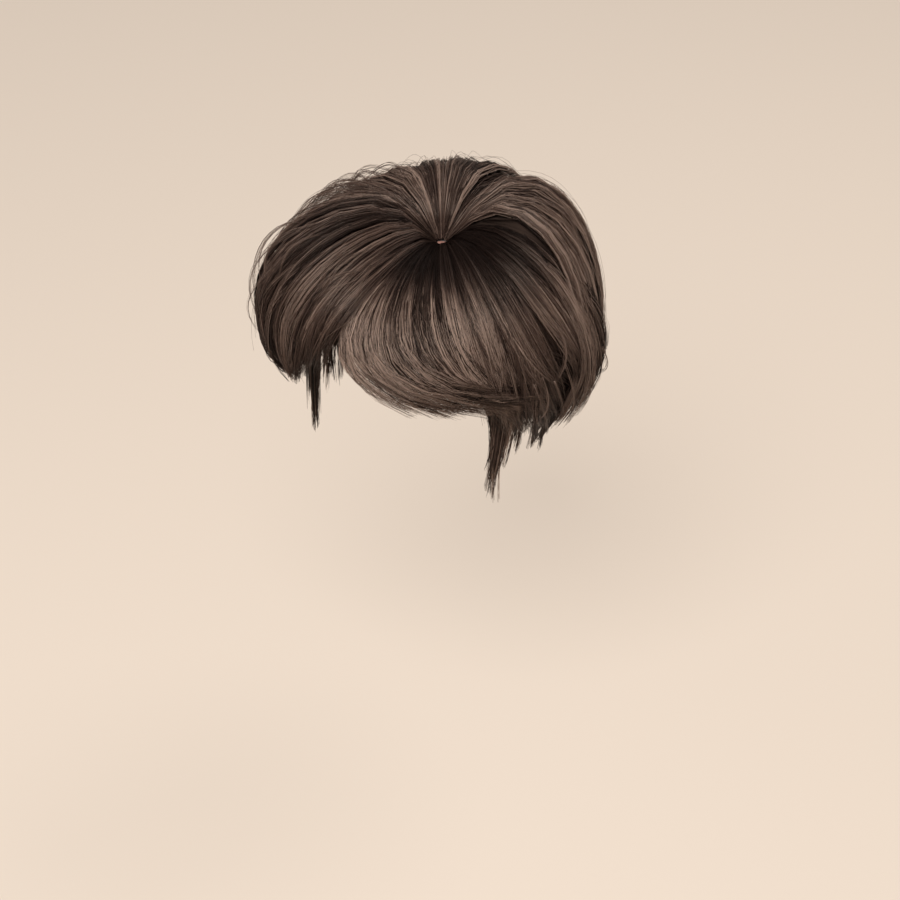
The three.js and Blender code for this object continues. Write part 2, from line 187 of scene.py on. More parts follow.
# Shades: how much clumps, wisps and hairs vary, light streaks and their share, and the painted shade that
# darkens deeper hair.
# root_until: share of the stretch down to light_at over which the root's painted shade lasts.
# calm_below: mean shade below which the play shrinks, down to the share calmest.
TONE = {
    "clump": 0.16, "wisp": 0.14, "hair": 0.13, "streak": 0.16, "streaked": 0.12, "painted_shade_by_depth": 0.08,
    "root_until": 0.5, "calm_below": 0.5, "calmest": 0.15, "darkest": 0.02, "lightest": 0.98,
}
# The hair of a section lies in two layers, by depth from 0, the outer face, to 1, the core.
# share: part of the section's clumps; wisps, hairs: wisps in a clump and hairs in a wisp.
# points: points along a hair; start: range of the way down where its hairs start.
LAYER_COLUMNS = ("share", "wisps", "hairs", "points", "depth", "start")
LAYERS = (
    (0.62, 8, 6, 13, (0.0, 0.5), (0.0, 0.03)),
    (0.38, 7, 6, 9, (0.30, 0.95), (0.08, 0.55)),
)
# The hair under the rim has one layer and starts where it shows.
UNDER_LAYER = (1.0, 5, 7, 9, (0.0, 0.5))

# Clumps: the fewest in a layer, their overlap, the share of their width left at the tips, their waves.
CLUMP = {"fewest": 2, "overlap": 2.0, "closed": 0.25, "wave": (0.4, 1.8), "waves": 1.4}
# Wisps: play in depth, roundness of the clump, play in where they start, width, ripples, flare and drift.
WISP = {
    "depth": 1.4, "rounding": 1.6, "start_power": 1.4, "half_width": 1.0, "closed": 0.35,
    "ripple": 0.8, "ripples": 2.5, "flare": 0.7, "drift": 2.5,
}
# How much more the tips of some wisps turn and rise; they rise earlier than they turn.
BOLD = {"all": 0.1, "few": 0.15, "share": 0.1, "lift_earlier": 2}
# How ends fall short, by clump, wisp and hair.
SHORT = {"clump_power": 2, "wisp": 0.3, "hair": 0.2}
# Single hairs: sizes, then play in depth, start, frizz and drift.
# rooting: the stretch in which a hair rises from the core.
# tip_from, thin_from: where hairs begin to close up and to thin.
STRAND = {
    "sides": 3, "radius": 0.17, "tip_radius": 0.07, "sizes": (0.75, 1.2), "eye": 3.0, "tip_density": 1.15,
    "depth": 0.3, "start": 0.03, "frizz": (0.05, 0.4), "frizzes": 3.5, "drift": 1.2,
    "rooting": 0.12, "tip_from": 0.55, "thin_from": 0.75,
}
# Loose single hairs that stand off the surface.
STRAY = {
    "points": 12, "radius": 0.10, "lift": 5.0, "lift_power": 2.0, "drift": 7.0, "start": (0.05, 0.45),
    "length": (0.25, 0.6), "past_core": 0.08, "depth": (-0.5, 1.5), "arch": (0.7, 1.1),
    "curl": 2.5, "curls": 1.3, "thin_from": 0.6, "shade": 0.15,
}
# Wisps that arch off the surface.
LOOP = {
    "points": 12, "hairs": 6, "radius": 0.13, "lowest": 0.4, "drift": 8.0, "play": 0.10,
    "half": (0.07, 0.15), "depth": (0.5, 2.0), "heights": (0.75, 1.1), "skew": (0.6, 1.5),
    "half_width": 1.3, "shade": 0.1,
}
# The core of an outer section: width of a column in degrees, steps down it, its depth and uneven end.
CORE = {"column": 1.5, "steps": 26, "below": 1.0, "uneven": 0.03}
# Hair under the rim: where it shows from, how far the dome's side is there, and the play of its hairs.
UNDER = {
    "top": -62, "dome_side": 90, "depth": 1.2, "closes_from": 0.4, "half_width": 0.9,
    "frizz": 0.4, "frizzes": 5, "drift": 2.0,
}
# Its core stays clear of the section's two ends and thins out towards them, so that no edge of it shows.
UNDER_CORE = {
    "fewest": 4, "steps": 14, "clear": 5, "thins_over": 8, "share": 0.5, "edge": 0.2, "uneven": 10,
}

# Rounded edges of the patch and the clips.
BEVEL = {"patch": 0.3, "clip": 0.25, "segments": 2}

# The stage, with lengths in metres.
FLOOR = {"height": -0.39, "reach": 9}
LIGHTS_AIM = (0, 0, -0.06)
# Each light's degrees round from the front and up, its distance, size, power and colour.
LIGHTS = {
    "key": (22, 46, 1.9, 1.1, 58, (1.0, 0.97, 0.93)),
    "fill": (-60, 35, 2.2, 1.6, 8, (1.0, 0.97, 0.94)),
    "rim": (165, 52, 2.0, 1.0, 20, (1.0, 0.96, 0.92)),
}
WORLD = {"colour": (0.90, 0.82, 0.74, 1), "strength": 0.36}
CAMERA = {"azimuth": 38, "elevation": 25, "distance": 1.417, "lens": 85, "sensor": 36}
# The origin stands this far from the middle of the picture, across and up.
OFF_MIDDLE = {"across": -0.008, "up": 0.138}


# Small helpers

def lerp(low, high, share):
    return low + (high - low) * share


def smooth(share):
    share = np.clip(share, 0, 1)
    return share * share * (3 - 2 * share)


def ease_from(begin, share):
    """How far a share has come on the way from begin to the end."""
    return smooth((share - begin) / (1 - begin))


def spread(rng, count, low, high):
    """Evenly spread values with a little play, in a random order."""
    cells = (np.arange(count) + rng.random(count)) / count
    return lerp(low, high, rng.permutation(cells))


def named(columns, values):
    return dict(zip(columns, values))


# Hair paths

def lock_rows():
    """All outer locks as columns, with each section's own edges."""
    sections = {}
    names = list(OUTER_LOCKS)
    for i, name in enumerate(names):
        rows = OUTER_LOCKS[name]
        before = OUTER_LOCKS[names[i - 1]][-1]
        after = OUTER_LOCKS[names[(i + 1) % len(names)]][0]
        first = before[0] - (FULL_TURN if i == 0 else 0)
        last = after[0] + (FULL_TURN if i == len(names) - 1 else 0)
        table = list(rows)
        if name not in STEPS_AT:
            table.insert(0, (first, *before[1:]))
        if names[(i + 1) % len(names)] not in STEPS_AT:
            table.append((last, *after[1:]))
        edges = ((first + rows[0][0]) / 2, (last + rows[-1][0]) / 2)
        sections[name] = {"table": np.array(table, float), "edges": edges}
    return sections


def rows_at(table, columns, azimuth):
    """The row of each direction, mixed from the locks on its two sides."""
    mixed = {c: np.interp(azimuth, table[:, 0], table[:, k]) for k, c in enumerate(columns)}
    mixed["azimuth"] = azimuth
    return mixed


def side_views(rows, depth, eye):
    """Distance from the whorl's axis and height, over the crest and down, for each row."""
    share = np.linspace(0, 1, SIDE_VIEW_STEPS, endpoint=False)[None, :]
    share_to_end = np.linspace(0, 1, SIDE_VIEW_STEPS + 1)[None, :]
    quarter = np.pi / 2
    column = {c: np.asarray(v, float)[:, None] for c, v in rows.items()}
    rise = column["rise"] - depth[:, None]
    reach = column["reach"] - depth[:, None]
    top = WHORL["z"] + rise
    distance = np.concatenate([
        lerp(eye, column["crest"], share),
        lerp(column["crest"], reach, np.sin(share * quarter)),
        reach - column["tuck"] * share_to_end**2,
    ], axis=1)
    height = np.concatenate([
        WHORL["z"] + rise * np.sin(share * quarter),
        lerp(column["belly"], top, np.cos(share * quarter)),
        lerp(column["belly"], column["hem"], share_to_end),
    ], axis=1)
    return distance, height


def along(distance, height, shares):
    """The side views at shares of their length."""
    steps = np.hypot(np.diff(distance), np.diff(height))
    length = np.concatenate([np.zeros((len(steps), 1)), np.cumsum(steps, axis=1)], axis=1)
    length /= length[:, -1:]
    curves = list(zip(shares, length, distance, height))
    far = np.array([np.interp(s, way, d) for s, way, d, _ in curves])
    high = np.array([np.interp(s, way, h) for s, way, _, h in curves])
    return far, high


def out_of_surface(distance, height):
    """The direction out of the surface along side views, as its parts in distance and height."""
    run = np.gradient(distance, axis=1)
    climb = np.gradient(height, axis=1)
    size = np.hypot(run, climb) + TINY
    return -climb / size, run / size


def sweep_turn(rows, shares):
    """The turn away from each row's direction, at shares of the way down."""
    return rows["sweep"][:, None] * shares ** HAIR["sweep_power"]


def place(distance, height, angle):
    x = WHORL["x"] + distance * np.cos(angle)
    y = WHORL["y"] + distance * np.sin(angle)
    return np.stack([x, y, height], axis=-1)


def distance_to_side(angle, grow):
    """Distance from the whorl's axis to the widest outline of the grown dome."""
    a = DOME["half_width"] + grow
    b = DOME["half_length"] + grow
    dx, dy = np.cos(angle), np.sin(angle)
    square = (dx / a) ** 2 + (dy / b) ** 2
    half = WHORL["x"] * dx / a**2 + WHORL["y"] * dy / b**2
    rest = (WHORL["x"] / a) ** 2 + (WHORL["y"] / b) ** 2 - 1
    return (np.sqrt(half * half - square * rest) - half) / square


def dome_height(distance, angle, grow):
    x = (WHORL["x"] + distance * np.cos(angle)) / (DOME["half_width"] + grow)
    y = (WHORL["y"] + distance * np.sin(angle)) / (DOME["half_length"] + grow)
    return (DOME["height"] + grow) * np.sqrt(np.clip(1 - x * x - y * y, 0, 1)) - DOME["height"]


def way_over(height):
    return np.arccos(np.clip(height / DOME["height"] + 1, 0, 1)) * DOME["height"]


def dome_path(hem, angle, shares, off_dome, drawn_in):
    """Distance and height of hair that lies over the dome and then hangs beside it."""
    side = distance_to_side(angle, off_dome)
    over = way_over(hem)
    below = np.maximum(SMALL_LENGTH, -DOME["height"] - hem)
    travelled = shares * (over + np.where(hem < -DOME["height"], below, 0))
    lying = lerp(WHORL["eye"], side, np.sin(np.minimum(travelled, over) / DOME["height"]))
    hung = np.maximum(0, travelled - over)
    distance = np.where(hung > 0, side - drawn_in * (hung / below) ** 2, lying)
    height = np.where(hung > 0, -DOME["height"] - hung, dome_height(lying, angle, off_dome))
    return distance, height


# Meshes

def new_mesh(name, points, faces_of_four, faces_of_three, coords, materials, slots=None):
    """A mesh from arrays; coords are the texture coordinates of each point."""
    mesh = bpy.data.meshes.new(name)
    corners = np.concatenate([faces_of_four.ravel(), faces_of_three.ravel()]).astype(np.int32)
    sizes = np.concatenate([np.full(len(faces_of_four), 4), np.full(len(faces_of_three), 3)])
    starts = np.concatenate([[0], np.cumsum(sizes)[:-1]]).astype(np.int32)
    mesh.vertices.add(len(points))
    mesh.vertices.foreach_set("co", (points * MM).astype(np.float32).ravel())
    mesh.loops.add(len(corners))
    mesh.loops.foreach_set("vertex_index", corners)
    mesh.polygons.add(len(sizes))
    mesh.polygons.foreach_set("loop_start", starts)
    mesh.polygons.foreach_set("use_smooth", np.ones(len(sizes), bool))
    layer = mesh.uv_layers.new(name=BAKE_UV)
    layer.data.foreach_set("uv", coords[corners].astype(np.float32).ravel())
    for material in materials:
        mesh.materials.append(material)
    if slots is not None:
        mesh.polygons.foreach_set("material_index", slots)
    mesh.update(calc_edges=True)
    mesh.validate()
    piece = bpy.data.objects.new(name, mesh)
    bpy.context.scene.collection.objects.link(piece)
    return piece


def join_parts(parts):
    """Points, faces, coordinates and material slots of several closed bodies as one set."""
    offset = 0
    points, fours, threes, coords, slots_four, slots_three = [], [], [], [], [], []
    for part in parts:
        points.append(part["points"])
        coords.append(part["coords"])
        fours.append(part["fours"] + offset)
        threes.append(part["threes"] + offset)
        slots_four.append(np.full(len(part["fours"]), part["slot"], np.int32))
        slots_three.append(np.full(len(part["threes"]), part["slot"], np.int32))
        offset += len(part["points"])
    slots = np.concatenate(slots_four + slots_three)
    return [np.concatenate(group) for group in (points, fours, threes, coords)], slots


def tubes(paths, across, radius, tone, shares, rng):
    """A closed, tapering tube of three sides round each path."""
    count, steps, _ = paths.shape
    sides = STRAND["sides"]
    tangent = np.gradient(paths, axis=1)
    tangent /= np.linalg.norm(tangent, axis=2, keepdims=True) + TINY
    across = across - tangent * np.sum(across * tangent, axis=2, keepdims=True)
    across /= np.linalg.norm(across, axis=2, keepdims=True) + TINY
    outward = np.cross(across, tangent)
    turn = rng.random((count, 1, 1)) * 2 * np.pi + np.arange(sides)[None, None, :] * 2 * np.pi / sides
    rings = (
        across[:, :, None, :] * np.cos(turn)[..., None]
        + outward[:, :, None, :] * np.sin(turn)[..., None]
    )
    points = paths[:, :, None, :] + rings * radius[:, :, None, None]
    first = (np.arange(count) * steps * sides)[:, None, None]
    step = (np.arange(steps - 1) * sides)[None, :, None]
    side = np.arange(sides)[None, None, :]
    after = (side + 1) % sides
    fours = np.stack([
        first + step + side,
        first + step + after,
        first + step + sides + after,
        first + step + sides + side,
    ], axis=-1).reshape(-1, 4)
    start = first[:, 0, :] + np.array([[2, 1, 0]])
    end = first[:, 0, :] + (steps - 1) * sides + np.array([[0, 1, 2]])
    threes = np.concatenate([start, end])
    coords = np.stack([
        np.broadcast_to(tone[:, :, None], (count, steps, sides)),
        np.broadcast_to(shares[:, :, None], (count, steps, sides)),
    ], axis=-1)
    return {
        "points": points.reshape(-1, 3),
        "fours": fours,
        "threes": threes,
        "coords": coords.reshape(-1, 2),
        "slot": 0,
    }


def closed_wall(outer, inner, tone, shares):
    """A closed body between two grids of points, columns by shares."""
    columns, rows, _ = outer.shape
    loops = np.concatenate([outer, inner[:, ::-1]], axis=1)
    ring = 2 * rows
    column = (np.arange(columns - 1) * ring)[:, None]
    spot = np.arange(ring)[None, :]
    after = (spot + 1) % ring
    fours = np.stack([column + spot, column + ring + spot, column + ring + after, column + after], axis=-1)
    strip = np.arange(rows - 1)
    first = np.stack([strip, strip + 1, ring - 2 - strip, ring - 1 - strip], axis=-1)
    last = first[:, ::-1] + (columns - 1) * ring
    both_ways = np.concatenate([shares, shares[::-1]])
    coords = np.stack([
        np.broadcast_to(tone[:, None], (columns, ring)),
        np.broadcast_to(both_ways[None, :], (columns, ring)),
    ], axis=-1)
    return {
        "points": loops.reshape(-1, 3),
        "fours": np.concatenate([fours.reshape(-1, 4), first, last]),
        "threes": np.zeros((0, 3), int),
        "coords": coords.reshape(-1, 2),
        "slot": 1,
    }


# Strands

def tip_dense(points):
    """Shares from 0 to 1 that lie closer together towards the tip."""
    return 1 - (1 - np.linspace(0, 1, points)[None, :]) ** STRAND["tip_density"]


def level_across(angle):
    return np.stack([-np.sin(angle), np.cos(angle), np.zeros_like(angle)], axis=-1)


def bundle(style, layer):
    """The clumps of a layer, the clump of each wisp and the wisp of each hair."""
    clumps = max(CLUMP["fewest"], round(style["clumps"] * layer["share"]))
    clump_of_wisp = np.repeat(np.arange(clumps), layer["wisps"])
    wisp_of_hair = np.repeat(np.arange(len(clump_of_wisp)), layer["hairs"])
    return {
        "clumps": clumps,
        "wisps": len(clump_of_wisp),
        "hairs": len(wisp_of_hair),
        "wisp": wisp_of_hair,
        "clump": clump_of_wisp[wisp_of_hair],
    }


def end_shares(style, group, rng):
    """How far down each hair ends."""
    falls_short = (
        (rng.random(group["clumps"]) ** SHORT["clump_power"])[group["clump"]]
        + SHORT["wisp"] * rng.random(group["wisps"])[group["wisp"]]
        + SHORT["hair"] * rng.random(group["hairs"])
    )
    return 1 - style["short"] * falls_short


def waves(sizes, rounds, count, member, shares, rng):
    """Sideways waves that grow towards the tip; the hairs of one member share theirs."""
    phase = rng.random(count)[member][:, None]
    size = rng.uniform(*sizes, count)[member][:, None]
    return size * np.sin(2 * np.pi * (rounds * shares + phase)) * shares


def hair_tones(style, group, sunk, shares, rng):
    """The shade of each point: the section's shade there, the clump's, wisp's and hair's own, and painted
    shade on deeper hair.
    """
    own = rng.normal(0, TONE["clump"], group["clumps"])[group["clump"]]
    own = own + rng.normal(0, TONE["hair"], group["hairs"])
    streak = rng.normal(0, TONE["wisp"], group["wisps"])
    streak = streak + TONE["streak"] * (rng.random(group["wisps"]) < TONE["streaked"])
    # Deeper hair is darker: painted shade between clumps and under the outer hair.
    own = style["vary"] * (own + streak[group["wisp"]]) - TONE["painted_shade_by_depth"] * sunk
    return section_tones(style, own, shares)


def section_tones(style, own, shares):
    # The mean runs from painted shade at the root to the painted highlight band at light_at, then to the
    # tip.
    at = (TONE["root_until"] * style["light_at"], style["light_at"], 1)
    mean = np.interp(shares, at, [style[k] for k in ("root", "middle", "tip")])
    # Dark stretches vary less.
    play = np.clip(mean / TONE["calm_below"], TONE["calmest"], 1)
    return np.clip(mean + own[:, None] * play, TONE["darkest"], TONE["lightest"])


def strand_radius(t, hairs, rng):
    thin = lerp(STRAND["radius"], STRAND["tip_radius"], ease_from(STRAND["thin_from"], t))
    return thin * rng.uniform(*STRAND["sizes"], hairs)[:, None]


def outer_strands(section, style, layer, rng):
    group = bundle(style, layer)
    clumps, wisps, hairs = group["clumps"], group["wisps"], group["hairs"]
    clump, wisp = group["clump"], group["wisp"]
    low, high = section["edges"]
    azimuth = spread(rng, clumps, low - SPILL, high + SPILL)
    rows = rows_at(section["table"], OUTER_COLUMNS, azimuth[clump])
    core_depth = rows["thick"] * HAIR["backed"]
    deep = spread(rng, clumps, *layer["depth"])
    aside = rng.uniform(-1, 1, wisps)
    # Wisps at a clump's edges lie a little deeper, which rounds it.
    wisp_depth = rng.uniform(0, WISP["depth"], wisps) + WISP["rounding"] * aside**2
    depth = deep[clump] * core_depth + wisp_depth[wisp] + rng.normal(0, STRAND["depth"], hairs)
    start = lerp(*layer["start"], rng.random(wisps) ** WISP["start_power"])[wisp]
    start = start + rng.uniform(0, STRAND["start"], hairs)
    end = end_shares(style, group, rng)
    t = tip_dense(layer["points"])
    shares = lerp(start[:, None], end[:, None], t)
    far, up = along(*side_views(rows, depth, STRAND["eye"]), shares)
    out_far, out_up = out_of_surface(far, up)
    # A hair that starts part of the way down comes up out of the core.
    rooted = 1 - smooth((shares - start[:, None]) / STRAND["rooting"])
    late = start[:, None] > STRAND["rooting"]
    out = -np.maximum(0, core_depth - depth)[:, None] * rooted * late
    tip = ease_from(STRAND["tip_from"], t)
    ripple = rng.normal(0, WISP["ripple"], wisps)[wisp][:, None]
    out = out + ripple * np.sin(np.pi * shares * WISP["ripples"])
    out = out + np.abs(rng.normal(0, WISP["flare"], wisps))[wisp][:, None] * tip
    clump_half = np.radians(high - low) * rows["reach"] / clumps * CLUMP["overlap"]
    lateral = (aside[wisp] * clump_half)[:, None] * lerp(1, CLUMP["closed"], tip)
    lateral = lateral + rng.normal(0, WISP["half_width"], hairs)[:, None] * lerp(1, WISP["closed"], tip)
    lateral = lateral + waves(CLUMP["wave"], CLUMP["waves"], clumps, clump, shares, rng)
    lateral = lateral + waves(STRAND["frizz"], STRAND["frizzes"], hairs, np.arange(hairs), shares, rng)
    drift = rng.normal(0, style["mess"], clumps)[clump] + rng.normal(0, WISP["drift"], wisps)[wisp]
    drift = drift + rng.normal(0, STRAND["drift"], hairs)
    bold = BOLD["all"] * rng.uniform(-1, 1, wisps) + BOLD["few"] * (rng.random(wisps) < BOLD["share"])
    bold = (1 + style["mess"] * bold)[wisp]
    flick = (rows["flick"] * bold)[:, None] * t ** style["hook"]
    lift = (rows["lift"] * bold)[:, None] * t ** (style["hook"] - BOLD["lift_earlier"])
    turned = sweep_turn(rows, shares) + drift[:, None] * shares**2
    angle = np.radians(rows["azimuth"][:, None] + turned + flick) + lateral / rows["reach"][:, None]
    paths = place(far + out_far * out, up + out_up * out + lift, angle)
    radius = strand_radius(t, hairs, rng)
    tone = hair_tones(style, group, depth, shares, rng)
    return tubes(paths, level_across(angle), radius, tone, shares, rng)


def outer_loops(section, style, rng):
    """Wisps that arch off the surface and leave gaps under them."""
    wisps = style["loops"]
    wisp = np.repeat(np.arange(wisps), LOOP["hairs"])
    hairs = len(wisp)
    rows = rows_at(section["table"], OUTER_COLUMNS, spread(rng, wisps, *section["edges"])[wisp])
    t = np.linspace(0, 1, LOOP["points"])[None, :]
    middle = style["loop_at"] + rng.uniform(-LOOP["play"], LOOP["play"], wisps)[wisp][:, None]
    half = rng.uniform(*LOOP["half"], wisps)[wisp][:, None]
    shares = lerp(middle - half, middle + half, t)
    far, up = along(*side_views(rows, rng.uniform(*LOOP["depth"], hairs), STRAND["eye"]), shares)
    out_far, out_up = out_of_surface(far, up)
    height = style["loop_high"] * rng.uniform(LOOP["lowest"], 1, wisps)[wisp]
    height = height * rng.uniform(*LOOP["heights"], hairs)
    skew = rng.uniform(*LOOP["skew"], wisps)[wisp][:, None]
    out = height[:, None] * np.sin(np.pi * t**skew)
    drift = LOOP["drift"] * rng.normal(0, 1, wisps)[wisp][:, None] * t**2
    lateral = rng.normal(0, LOOP["half_width"], hairs)[:, None]
    turned = rows["azimuth"][:, None] + sweep_turn(rows, shares) + drift
    angle = np.radians(turned) + lateral / rows["reach"][:, None]
    paths = place(far + out_far * out, up + out_up * out, angle)
    radius = LOOP["radius"] * strand_radius(t, hairs, rng) / STRAND["radius"]
    tone = section_tones(style, rng.normal(0, LOOP["shade"], hairs), shares)
    return tubes(paths, level_across(angle), radius, tone, shares, rng)


def outer_strays(section, style, rng):
    """Loose single hairs that stand a little off the surface and wander."""
    count = style["strays"]
    rows = rows_at(section["table"], OUTER_COLUMNS, spread(rng, count, *section["edges"]))
    t = np.linspace(0, 1, STRAY["points"])[None, :]
    start = rng.uniform(*STRAY["start"], count)[:, None]
    lowest = style["core_end"] + STRAY["past_core"]
    end = np.minimum(lowest, start + rng.uniform(*STRAY["length"], count)[:, None])
    shares = lerp(start, end, t)
    far, up = along(*side_views(rows, rng.uniform(*STRAY["depth"], count), STRAND["eye"]), shares)
    out_far, out_up = out_of_surface(far, up)
    lift = STRAY["lift"] * rng.random(count)[:, None] ** STRAY["lift_power"]
    out = lift * np.sin(np.pi * t * rng.uniform(*STRAY["arch"], count)[:, None])
    drift = STRAY["drift"] * rng.normal(0, 1, count)[:, None] * t**2
    curl = rng.normal(0, STRAY["curl"], count)[:, None]
    curl = curl * np.sin(2 * np.pi * (t * STRAY["curls"] + rng.random(count)[:, None]))
    turned = rows["azimuth"][:, None] + sweep_turn(rows, shares) + drift
    angle = np.radians(turned) + curl * t / rows["reach"][:, None]
    paths = place(far + out_far * out, up + out_up * out, angle)
    thin = lerp(STRAY["radius"], STRAND["tip_radius"], ease_from(STRAY["thin_from"], t))
    tone = section_tones(style, rng.normal(0, STRAY["shade"], count), shares)
    return tubes(paths, level_across(angle), np.broadcast_to(thin, shares.shape), tone, shares, rng)


def outer_core(section, style, rng):
    low, high = section["edges"]
    columns = int((high - low) / CORE["column"])
    shares = np.linspace(0, 1, CORE["steps"])
    azimuth = np.linspace(low, high, columns)
    rows = rows_at(section["table"], OUTER_COLUMNS, azimuth)
    depth = rows["thick"] * HAIR["backed"] + CORE["below"]
    lowest = style["core_end"] + rng.uniform(-CORE["uneven"], CORE["uneven"], columns)
    outer_shares = shares[None, :] * lowest[:, None]
    far, up = along(*side_views(rows, depth, WHORL["eye"]), outer_shares)
    angle = np.radians(azimuth[:, None] + sweep_turn(rows, outer_shares))
    outer = place(far, up, angle)
    side = distance_to_side(angle, HAIR["off_dome"])
    hem = up[:, -1:]
    drawn_in = np.maximum(0, side - (far[:, -1:] - HAIR["hem_thick"]))
    every = np.broadcast_to(shares, outer_shares.shape)
    inner = place(*dome_path(hem, angle, every, HAIR["off_dome"], drawn_in), angle)
    tone = rng.uniform(0, 1, columns)
    return closed_wall(outer, inner, tone, shares)


def under_start(hem):
    return way_over(UNDER["top"]) / (way_over(hem) + np.maximum(0, -DOME["height"] - hem))


def under_strands(section, style, layer, rng):
    group = bundle(style, layer)
    clumps, wisps, hairs = group["clumps"], group["wisps"], group["hairs"]
    clump, wisp = group["clump"], group["wisp"]
    low, high = section["edges"]
    azimuth = spread(rng, clumps, low, high)
    deep = spread(rng, clumps, *layer["depth"])
    aside = rng.uniform(-1, 1, wisps)
    rows = rows_at(section["table"], UNDER_COLUMNS, azimuth[clump])
    hem, tuck, thick = (rows[k][:, None] for k in ("hem", "tuck", "thick"))
    end = end_shares(style, group, rng)
    t = tip_dense(layer["points"])
    shares = lerp(under_start(hem), end[:, None], t)
    off_dome = HAIR["off_dome"] + thick * (1 - deep[clump])[:, None]
    off_dome = off_dome - rng.uniform(0, UNDER["depth"], hairs)[:, None]
    clump_half = np.radians(high - low) * UNDER["dome_side"] / clumps * CLUMP["overlap"]
    closing = lerp(1, style["close"], ease_from(UNDER["closes_from"], t))
    lateral = (aside * clump_half)[wisp][:, None] * closing
    lateral = lateral + rng.normal(0, UNDER["half_width"], hairs)[:, None] * closing
    frizz_phase = rng.random(hairs)[:, None]
    lateral = lateral + UNDER["frizz"] * np.sin(2 * np.pi * (UNDER["frizzes"] * shares + frizz_phase)) * t
    drift = rng.normal(0, UNDER["drift"], wisps)[wisp][:, None] * t**2
    turned = rows["azimuth"][:, None] + sweep_turn(rows, shares) + drift
    angle = np.radians(turned) + lateral / UNDER["dome_side"]
    paths = place(*dome_path(hem, angle, shares, off_dome, tuck), angle)
    radius = strand_radius(t, hairs, rng)
    # How deep each hair lies, which darkens it as painted shade.
    sunk = (HAIR["off_dome"] + thick - off_dome)[:, 0]
    tone = hair_tones(style, group, sunk, shares, rng)
    return tubes(paths, level_across(angle), radius, tone, shares, rng)


def under_core(section, style, rng):
    low = section["edges"][0] + UNDER_CORE["clear"]
    high = section["edges"][1] - UNDER_CORE["clear"]
    columns = max(UNDER_CORE["fewest"], int((high - low) / CORE["column"]))
    azimuth = np.linspace(low, high, columns)
    rows = rows_at(section["table"], UNDER_COLUMNS, azimuth)
    up_from_hem = (1 - style["core_end"]) * (UNDER["top"] - rows["hem"])
    tone = rng.uniform(0, 1, columns)
    hem = rows["hem"] + up_from_hem + UNDER_CORE["uneven"] * (tone - 0.5)
    shares = np.linspace(0, 1, UNDER_CORE["steps"])
    every = lerp(under_start(hem)[:, None], 1, shares[None, :])
    angle = np.radians(azimuth[:, None] + sweep_turn(rows, every))
    drawn_in = rows["tuck"][:, None]
    to_edge = np.minimum(azimuth - low, high - azimuth)
    thins_out = smooth(to_edge / UNDER_CORE["thins_over"])
    thick = UNDER_CORE["share"] * rows["thick"] * thins_out + UNDER_CORE["edge"]
    off_outer = (HAIR["off_dome"] + thick)[:, None]
    outer = place(*dome_path(hem[:, None], angle, every, off_outer, drawn_in), angle)
    inner = place(*dome_path(hem[:, None], angle, every, HAIR["off_dome"], drawn_in), angle)
    return closed_wall(outer, inner, tone, shares)


# Materials

def new_material(name):
    material = bpy.data.materials.new(name)
    material.use_nodes = True
    nodes = material.node_tree.nodes
    return material, nodes, material.node_tree.links, nodes["Principled BSDF"]


def ramp(nodes, stops):
    node = nodes.new("ShaderNodeValToRGB")
    elements = node.color_ramp.elements
    while len(elements) < len(stops):
        elements.new(0.5)
    for element, (position, colour) in zip(elements, stops):
        element.position = position
        element.color = (*colour, 1)
    return node


def hair_material():
    material, nodes, links, shader = new_material("hair_strands")
    coords = nodes.new("ShaderNodeUVMap")
    coords.uv_map = BAKE_UV
    split = nodes.new("ShaderNodeSeparateXYZ")
    links.new(coords.outputs["UV"], split.inputs["Vector"])
    # Shade by u: the hair's own colour, with the painted shade and painted highlights set in
    # section_tones.
    shade = ramp(nodes, [
        (0.0, (0.005, 0.0030, 0.0026)),
        (0.35, (0.024, 0.0135, 0.0105)),
        (0.65, (0.076, 0.0465, 0.0360)),
        (1.0, (0.230, 0.162, 0.130)),
    ])
    links.new(split.outputs["X"], shade.inputs["Fac"])
    # Darker towards the root: painted shade near the whorl and under the hair above; the tips are a touch
    # warmer.
    length = ramp(nodes, [
        (0.0, (0.70, 0.68, 0.68)),
        (0.25, (1.0, 1.0, 1.0)),
        (0.7, (1.0, 1.0, 1.0)),
        (1.0, (1.0, 0.96, 0.92)),
    ])
    links.new(split.outputs["Y"], length.inputs["Fac"])
    mix = nodes.new("ShaderNodeMix")
    mix.data_type = "RGBA"
    mix.blend_type = "MULTIPLY"
    mix.inputs["Factor"].default_value = 1
    links.new(shade.outputs["Color"], mix.inputs["A"])
    links.new(length.outputs["Color"], mix.inputs["B"])
    links.new(mix.outputs["Result"], shader.inputs["Base Color"])
    shader.inputs["Roughness"].default_value = 0.42
    # Dark hair, which lies in the folds, shines less.
    shine = ramp(nodes, [(0.1, (0.06, 0.06, 0.06)), (0.6, (0.42, 0.42, 0.42))])
    links.new(split.outputs["X"], shine.inputs["Fac"])
    links.new(shine.outputs["Color"], shader.inputs["Specular IOR Level"])
    shader.inputs["Specular Tint"].default_value = (0.95, 0.84, 0.74, 1)
    return material


def core_material():
    """Hair under the strands, in streaks, painted dark and dull as the deep shade beneath them."""
    material, nodes, links, shader = new_material("hair_core_painted_shade")
    coords = nodes.new("ShaderNodeUVMap")
    coords.uv_map = BAKE_UV
    streaks = nodes.new("ShaderNodeTexNoise")
    streaks.inputs["Scale"].default_value = 6
    streaks.inputs["Detail"].default_value = 5
    links.new(coords.outputs["UV"], streaks.inputs["Vector"])
    # Painted shade: the core is darker than the hair's own colour.
    shade = ramp(nodes, [(0.3, (0.009, 0.006, 0.005)), (0.75, (0.026, 0.017, 0.013))])
    links.new(streaks.outputs["Fac"], shade.inputs["Fac"])
    links.new(shade.outputs["Color"], shader.inputs["Base Color"])
    shader.inputs["Roughness"].default_value = 0.95
    shader.inputs["Specular IOR Level"].default_value = 0.05
    return material


